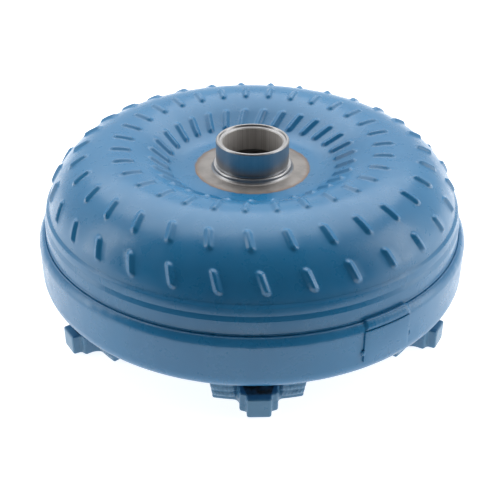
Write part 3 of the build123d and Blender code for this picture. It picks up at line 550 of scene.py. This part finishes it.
# ---------------------------------------------------------------- materials
class Shade:
    """A material's node tree, with short ways to add nodes. Its coordinates are the object's own metres."""

    def __init__(self, name, **settings):
        self.material = bpy.data.materials.new(name)
        self.material.use_nodes = True
        self.tree = self.material.node_tree
        self.surface = self.tree.nodes["Principled BSDF"]
        for key, value in settings.items():
            self.surface.inputs[key.replace("_", " ")].default_value = value
        self.place = self.tree.nodes.new("ShaderNodeTexCoord").outputs["Object"]
        split = self.add("ShaderNodeSeparateXYZ", Vector=self.place)
        self.x, self.y, self.z = split.outputs
        flat = self.add("ShaderNodeCombineXYZ", X=self.x, Y=self.y, Z=0.0)
        self.radius = self.add("ShaderNodeVectorMath", "LENGTH", Vector=flat.outputs[0]).outputs["Value"]
        self.angle = self.math("ARCTAN2", self.y, self.x)

    def add(self, kind, operation=None, **inputs):
        node = self.tree.nodes.new(kind)
        if operation:
            node.operation = operation
        for key, value in inputs.items():
            self.put(node.inputs[key], value)
        return node

    def put(self, socket, value):
        if isinstance(value, bpy.types.NodeSocket):
            self.tree.links.new(value, socket)
        else:
            socket.default_value = value

    def math(self, operation, a, b=0.0):
        node = self.tree.nodes.new("ShaderNodeMath")
        node.operation = operation
        self.put(node.inputs[0], a)
        self.put(node.inputs[1], b)
        return node.outputs[0]

    def noise(self, scale, detail=3.0, rough=0.55, vector=None):
        node = self.add("ShaderNodeTexNoise", Scale=scale, Detail=detail, Roughness=rough)
        self.put(node.inputs["Vector"], vector or self.place)
        return node.outputs["Fac"]

    def between(self, value, low, high, start=0.0, end=1.0):
        """start below low and end above high, smooth in between."""
        node = self.tree.nodes.new("ShaderNodeMapRange")
        node.interpolation_type = "SMOOTHSTEP"
        for socket, number in zip(node.inputs, (value, low, high, start, end)):
            self.put(socket, number)
        return node.outputs[0]

    def mix(self, share, a, b):
        node = self.tree.nodes.new("ShaderNodeMix")
        node.data_type = "RGBA"
        self.put(node.inputs["Factor"], share)
        self.put(node.inputs["A"], a if isinstance(a, bpy.types.NodeSocket) else (*a, 1))
        self.put(node.inputs["B"], b if isinstance(b, bpy.types.NodeSocket) else (*b, 1))
        return node.outputs["Result"]

    def polar(self, turns, rise, out=0.0):
        """Coordinates that follow the axis: angle times turns, height times rise, radius times out."""
        angle = self.math("MULTIPLY", self.angle, turns)
        height = self.math("MULTIPLY", self.z, rise)
        reach = self.math("MULTIPLY", self.radius, out)
        return self.add("ShaderNodeCombineXYZ", X=angle, Y=height, Z=reach).outputs[0]

    def paint(self, colour=None, rough=None, bumps=(), metal=None):
        """Joins colour, roughness, metalness and bumps, each (height, distance in metres), to the surface."""
        for key, value in (("Base Color", colour), ("Roughness", rough), ("Metallic", metal)):
            if value is not None:
                self.put(self.surface.inputs[key], value)
        normal = None
        for height, distance in bumps:
            bump = self.add("ShaderNodeBump", Height=height, Distance=distance, Strength=1.0)
            if normal:
                self.put(bump.inputs["Normal"], normal)
            normal = bump.outputs[0]
        if normal:
            self.put(self.surface.inputs["Normal"], normal)
        return self.material


PAINT = (0.016, 0.164, 0.345)
PAINT_DEEP = (0.014, 0.150, 0.322)
PAINT_PALE = (0.027, 0.178, 0.358)
RUST = (0.16, 0.085, 0.045)
TAN = (0.265, 0.25, 0.238)
# near black: painted shade under the cover's overhang on the lug tops
PAINTED_SHADE_BLACK = (0.025, 0.016, 0.012)
# paler, greyer enamel: painted reflected light, standing in for the bright floor that the lugs face
PAINT_FLOOR_LIT = (0.076, 0.214, 0.352)


def enamel(name, bare_edge=False, crevice=False):
    """Satin blue enamel: orange peel, slow colour drift, dust specks.

    bare_edge adds rust where the shell meets the hub; crevice adds a paler, greyer tone on the lugs, which is
    painted reflected light, and dark lug tops under the cover, partly bare brown metal and partly painted
    shade.
    """
    s = Shade(name, Roughness=0.3, Specular_IOR_Level=0.5, Coat_Weight=0.1, Coat_Roughness=0.12)
    drift = s.noise(14.0, 3.0)
    colour = s.mix(s.between(drift, 0.35, 0.65), PAINT_DEEP, PAINT)
    streaks = s.noise(1.0, 4.0, 0.6, s.polar(9.0, 60.0, 60.0))
    colour = s.mix(s.between(streaks, 0.55, 0.8, 0.0, 0.35), colour, PAINT_PALE)
    specks = s.between(s.noise(420.0, 2.0), 0.72, 0.78, 0.0, 0.10)
    colour = s.mix(specks, colour, (0.12, 0.24, 0.36))
    rough = s.between(s.noise(90.0, 4.0), 0.3, 0.7, 0.25, 0.36)
    peel = s.noise(650.0, 2.0, 0.5)
    wave = s.noise(38.0, 2.0, 0.5)
    bumps = [(wave, 0.00018), (peel, 0.000015)]
    if bare_edge:
        ragged = s.math("ADD", s.radius, s.between(s.noise(200.0, 3.0), 0.3, 0.7, -0.0005, 0.0005))
        rusty = s.between(ragged, 0.0411, 0.0420, 0.55, 0.0)
        colour = s.mix(rusty, colour, RUST)
        rough = s.math("ADD", rough, s.math("MULTIPLY", rusty, 0.3))
    if crevice:
        # painted reflected light: the lugs get a paler, greyer copy of the enamel for the bright floor they
        # face
        colour = s.mix(0.85, colour, PAINT_FLOOR_LIT)
        # distance across the nearest lug: the six middles are where this cosine is nought
        lobe = s.math("ABSOLUTE", s.math("COSINE", s.math("MULTIPLY", s.angle, 3.0)))
        across = s.math("MULTIPLY", s.math("MULTIPLY", lobe, s.radius), 1 / 3)
        wedge = s.math("ADD", across, s.math("MULTIPLY", s.math("SUBTRACT", s.radius, 0.134), 0.3))
        within = s.between(wedge, 0.0118, 0.0104)
        inward = s.between(s.radius, 0.1468, 0.1438)
        on_top = s.between(s.z, 0.0135, 0.0149)
        patch = s.between(s.noise(180.0, 4.0), 0.3, 0.62, 0.55, 1.0)
        # lug tops under the cover's overhang: partly painted shade, partly bare brown metal
        bare_and_shade = s.math("MULTIPLY", s.math("MULTIPLY", s.math("MULTIPLY", inward, on_top), within), patch)
        # the near-black end is painted shade under the cover, the brown end is bare metal
        shade_and_bare_metal = s.mix(s.between(s.noise(300.0, 3.0), 0.4, 0.6), PAINTED_SHADE_BLACK, (0.07, 0.04, 0.03))
        colour = s.mix(bare_and_shade, colour, shade_and_bare_metal)
        rough = s.math("ADD", rough, s.math("MULTIPLY", bare_and_shade, 0.35))
    return s.paint(colour, rough, bumps)


def turned_steel(name, tint, streak=0.10, rough=0.26, drawn=0.5):
    """Lathe-turned steel: fine rings round the axis, faint drawn streaks along it, oil stains."""
    s = Shade(name, Metallic=1.0)
    rings = s.noise(1.0, 3.0, 0.7, s.polar(0.6, 5200.0, 5200.0))
    marks = s.noise(1.0, 4.0, 0.6, s.polar(26.0, 14.0, 14.0))
    stains = s.noise(70.0, 4.0, 0.6)
    dark = tuple(c * 0.62 for c in tint)
    colour = s.mix(s.between(marks, 0.35, 0.7), dark, tint)
    oily = (tint[0] * 0.7, tint[1] * 0.62, tint[2] * 0.52)
    colour = s.mix(s.between(stains, 0.55, 0.75, 0.0, 0.4), colour, oily)
    streaked = s.between(marks, 0.3, 0.7, rough - streak / 2, rough + streak)
    gloss = s.math("ADD", streaked, s.between(stains, 0.5, 0.8, 0.0, 0.12))
    return s.paint(colour, gloss, [(rings, 0.00002 * drawn), (marks, 0.00003)])


def hub_steel():
    """The hub: bright journal and chamfers, browner bore, matt tan flange with a rusty outer edge."""
    s = Shade("hub_steel", Metallic=1.0)
    marks = s.noise(1.0, 4.0, 0.65, s.polar(30.0, 10.0, 10.0))
    rings = s.noise(1.0, 2.0, 0.6, s.polar(0.5, 4200.0, 4200.0))
    stains = s.noise(85.0, 5.0, 0.6)
    steel = s.mix(s.between(marks, 0.36, 0.66), (0.35, 0.35, 0.355), (0.38, 0.38, 0.38))
    inside = s.between(s.radius, 0.0216, 0.0214)
    bore = s.mix(s.between(marks, 0.35, 0.65), (0.46, 0.44, 0.42), (0.60, 0.58, 0.56))
    colour = s.mix(inside, steel, bore)
    flange = s.math("MULTIPLY", s.between(s.z, 0.1046, 0.1040), s.between(s.radius, 0.0284, 0.0296))
    mottled = s.mix(s.between(stains, 0.35, 0.65), (0.20, 0.19, 0.182), TAN)
    ragged = s.math("ADD", s.radius, s.between(s.noise(200.0, 3.0), 0.3, 0.7, -0.0005, 0.0005))
    mottled = s.mix(s.between(ragged, 0.0375, 0.0404, 0.0, 0.4), mottled, RUST)
    colour = s.mix(flange, colour, mottled)
    rough = s.between(marks, 0.3, 0.7, 0.33, 0.37)
    rough = s.math("ADD", rough, s.math("MULTIPLY", flange, 0.16))
    rough = s.math("ADD", rough, s.math("MULTIPLY", inside, 0.30))
    matt = s.math("ADD", s.math("MULTIPLY", flange, 0.15), s.math("MULTIPLY", inside, 0.35))
    metal = s.math("SUBTRACT", 1.0, matt)
    bumps = [(rings, 0.0000012), (marks, 0.000001), (s.math("MULTIPLY", stains, flange), 0.00005)]
    return s.paint(colour, rough, bumps, metal)


def pressed_steel(name, tint, rough=0.38):
    """Cold-rolled sheet: fine grain, faint draw lines, smudges."""
    s = Shade(name, Metallic=1.0)
    grain = s.noise(900.0, 2.0, 0.6)
    draw = s.noise(1.0, 3.0, 0.6, s.polar(14.0, 30.0, 30.0))
    smudge = s.noise(45.0, 4.0)
    dark = tuple(c * 0.72 for c in tint)
    colour = s.mix(s.between(draw, 0.35, 0.7), dark, tint)
    warm = (tint[0] * 0.8, tint[1] * 0.72, tint[2] * 0.6)
    colour = s.mix(s.between(smudge, 0.52, 0.72, 0.0, 0.35), colour, warm)
    gloss = s.between(smudge, 0.3, 0.7, rough - 0.06, rough + 0.1)
    return s.paint(colour, gloss, [(grain, 0.00001), (draw, 0.00002)])


def cast_aluminium(name, tint, pits=0.00006):
    """Die-cast aluminium: soft flow marks and a fine pebbled skin."""
    s = Shade(name, Metallic=1.0)
    pebble = s.noise(700.0, 4.0, 0.7)
    flow = s.noise(30.0, 3.0)
    colour = s.mix(s.between(flow, 0.35, 0.65), tuple(c * 0.85 for c in tint), tint)
    gloss = s.between(pebble, 0.3, 0.7, 0.34, 0.5)
    return s.paint(colour, gloss, [(pebble, pits)])


def friction_paper():
    """Resin-bonded friction paper: short fibres and darker blotches."""
    s = Shade("friction_paper", Metallic=0.0, Specular_IOR_Level=0.25)
    fibre = s.noise(1400.0, 5.0, 0.75)
    blotch = s.noise(120.0, 3.0)
    colour = s.mix(s.between(fibre, 0.3, 0.7), (0.17, 0.115, 0.065), (0.34, 0.25, 0.16))
    colour = s.mix(s.between(blotch, 0.4, 0.7, 0.0, 0.4), colour, (0.12, 0.085, 0.05))
    return s.paint(colour, s.between(fibre, 0.3, 0.7, 0.7, 0.92), [(fibre, 0.00008)])


def rubber():
    """Moulded nitrile rubber with a fine matt bloom."""
    s = Shade("seal_rubber", Metallic=0.0, Specular_IOR_Level=0.4)
    bloom = s.noise(500.0, 3.0)
    colour = s.mix(s.between(bloom, 0.35, 0.7), (0.012, 0.012, 0.013), (0.035, 0.034, 0.033))
    return s.paint(colour, s.between(bloom, 0.3, 0.7, 0.42, 0.6), [(bloom, 0.00003)])


def blued_spring():
    """Oil-tempered spring wire: blue-black with brown straw tints."""
    s = Shade("spring_steel", Metallic=1.0)
    tint = s.noise(60.0, 3.0)
    scale = s.noise(800.0, 3.0)
    colour = s.mix(s.between(tint, 0.35, 0.65), (0.075, 0.085, 0.12), (0.16, 0.13, 0.10))
    return s.paint(colour, s.between(scale, 0.3, 0.7, 0.28, 0.42), [(scale, 0.00001)])


def weld_metal():
    """Ground-flush weld: heat tint from straw to blue over brushed metal."""
    s = Shade("weld_metal", Metallic=0.5)
    marks = s.noise(1.0, 3.0, 0.6, s.polar(60.0, 400.0, 400.0))
    heat = s.noise(140.0, 3.0)
    colour = s.mix(s.between(heat, 0.35, 0.65), (0.20, 0.13, 0.08), (0.16, 0.15, 0.15))
    return s.paint(colour, s.between(marks, 0.3, 0.7, 0.4, 0.6), [(marks, 0.00004)])


def finish_nodes(materials, record):
    """Gives each shown CAD node the material of its slot in the record."""
    for part in record["subparts"]:
        node = nodes[part["node"]]
        node.data.materials.clear()
        node.data.materials.append(materials[part["material_slot"]])


# ---------------------------------------------------------------- edges of the CAD nodes
def soften(name, width):
    """Rounds a CAD node's sharp edges by a width in metres, without changing its own mesh."""
    node = nodes[name]
    weld = node.modifiers.new("weld", "WELD")
    weld.merge_threshold = 1e-6
    flat = node.modifiers.new("flat", "DECIMATE")
    flat.decimate_type = "DISSOLVE"
    flat.angle_limit = math.radians(1.0)
    bevel = node.modifiers.new("round", "BEVEL")
    bevel.width = width
    bevel.segments = 3
    bevel.limit_method = "ANGLE"
    bevel.angle_limit = math.radians(40)
    bevel.use_clamp_overlap = True
    bevel.harden_normals = False


# ---------------------------------------------------------------- stage: floor, lights, camera
def studio():
    """A pale seamless floor and soft light from above, behind and both sides."""
    size = 60.0
    mesh = bpy.data.meshes.new("floor")
    square = ((-size, -size), (size, -size), (size, size), (-size, size))
    corners = [(x, y, -FLOOR_DROP) for x, y in square]
    mesh.from_pydata(corners, [], [(0, 1, 2, 3)])
    floor = bpy.data.objects.new("floor", mesh)
    bpy.context.scene.collection.objects.link(floor)
    s = Shade("floor_white", Roughness=0.9)
    s.surface.inputs["Base Color"].default_value = (0.62, 0.62, 0.62, 1)
    s.surface.inputs["Emission Color"].default_value = (1, 1, 1, 1)
    s.surface.inputs["Emission Strength"].default_value = 0.88
    mesh.materials.append(s.material)

    world = bpy.data.worlds.new("studio")
    bpy.context.scene.world = world
    world.use_nodes = True
    world.node_tree.nodes["Background"].inputs["Color"].default_value = (1, 1, 1, 1)
    world.node_tree.nodes["Background"].inputs["Strength"].default_value = 0.85

    def softbox(name, place, aim, width, height, power, colour=(1, 1, 1)):
        light = bpy.data.lights.new(name, "AREA")
        light.shape = "RECTANGLE"
        light.size, light.size_y = width, height
        light.energy = power
        light.color = colour
        lamp = bpy.data.objects.new(name, light)
        lamp.location = place
        lamp.rotation_euler = (Vector(aim) - Vector(place)).to_track_quat("-Z", "Y").to_euler()
        lamp.visible_camera = False
        bpy.context.scene.collection.objects.link(lamp)

    softbox("overhead", (0, 0.75, 1.5), (0, 0, 0.08), 2.6, 1.6, 30)
    softbox("left_strip", (-1.5, -0.1, 0.55), (0, 0, 0.06), 0.6, 1.3, 7)
    softbox("right_strip", (1.5, -0.1, 0.55), (0, 0, 0.06), 0.6, 1.3, 7)

    dark = Shade("flag_black", Roughness=1.0)
    dark.surface.inputs["Base Color"].default_value = (0.03, 0.03, 0.035, 1)

    def flag(name, vertices, faces, casts_shade=True):
        """A black card that the camera can't see. It shows in reflections, and may hold light back."""
        card_mesh = bpy.data.meshes.new(name)
        card_mesh.from_pydata(vertices, [], faces)
        card = bpy.data.objects.new(name, card_mesh)
        bpy.context.scene.collection.objects.link(card)
        card_mesh.materials.append(dark.material)
        card.visible_camera = False
        card.visible_shadow = casts_shade

    turns = [math.radians(a) for a in range(-78, 61, 6)]
    low = [(1.3 * math.sin(a), -1.3 * math.cos(a), 0.03) for a in turns]
    high = [(0.6 * math.sin(a), -0.6 * math.cos(a), 2.1) for a in turns]
    count = len(turns)
    flag("front_card", low + high, [(k, k + 1, count + k + 1, count + k) for k in range(count - 1)])
    table = [(-1.1, -1.4, 0.002), (1.1, -1.4, 0.002), (0.7, -0.36, 0.002), (-0.7, -0.36, 0.002)]
    flag("table_card", table, [(0, 1, 2, 3)], casts_shade=False)


# ---------------------------------------------------------------- camera
def camera():
    """The camera, a little above the drum and square to the first lug."""
    distance, azimuth, elevation = 0.7283, math.radians(-2.0), math.radians(31.8975)
    target = Vector((0, 0, 0.03338))
    side = distance * math.cos(elevation)
    rise = distance * math.sin(elevation)
    place = target + Vector((side * math.sin(azimuth), -side * math.cos(azimuth), rise))
    data = bpy.data.cameras.new("camera")
    data.sensor_width = 36
    data.lens = 69.35
    data.shift_x = -0.00386
    seen = bpy.data.objects.new("camera", data)
    seen.location = place
    look = (target - place).to_track_quat("-Z", "Y").to_matrix()
    roll = math.radians(0.328)
    turn = look @ Matrix.Rotation(roll, 3, "Z")
    seen.rotation_euler = turn.to_euler()
    bpy.context.scene.collection.objects.link(seen)
    bpy.context.scene.camera = seen


# ---------------------------------------------------------------- build
paint = enamel("blue_enamel")
materials = {
    "blue_paint": paint,
    "lug_paint": enamel("lug_enamel", crevice=True),
    "machined_steel": turned_steel("machined_steel", (0.55, 0.55, 0.54)),
    "weld_metal": weld_metal(),
    "pressed_steel": pressed_steel("pressed_steel", (0.46, 0.45, 0.43)),
    "turned_steel": turned_steel("turned_steel", (0.52, 0.52, 0.52), drawn=0.8),
    "stamped_steel": pressed_steel("stamped_steel", (0.42, 0.42, 0.43), rough=0.32),
    "spring_steel": blued_spring(),
    "friction_paper": friction_paper(),
    "seal_rubber": rubber(),
    "cast_aluminium": cast_aluminium("cast_aluminium", (0.66, 0.67, 0.68)),
    "cap_aluminium": cast_aluminium("cap_aluminium", (0.62, 0.63, 0.64), pits=0.00002),
    "cage_steel": pressed_steel("cage_steel", (0.48, 0.47, 0.44), rough=0.3),
    "bearing_steel": turned_steel("bearing_steel", (0.68, 0.69, 0.70), streak=0.04, rough=0.14),
}
finish_nodes(materials, frame["record"])
skin = impeller_skin()
skin.data.materials.append(enamel("shell_enamel", bare_edge=True))
closure_bead().data.materials.append(paint)
lug_beads().data.materials.append(materials["lug_paint"])
tack_beads().data.materials.append(paint)
turned_hub().data.materials.append(hub_steel())
for number in range(LUG_COUNT):
    forged_lug(number).data.materials.append(materials["lug_paint"])
    damper_spring(number + 1).data.materials.append(materials["spring_steel"])
soften("balance_weight", 0.35 * MM)
studio()
camera()
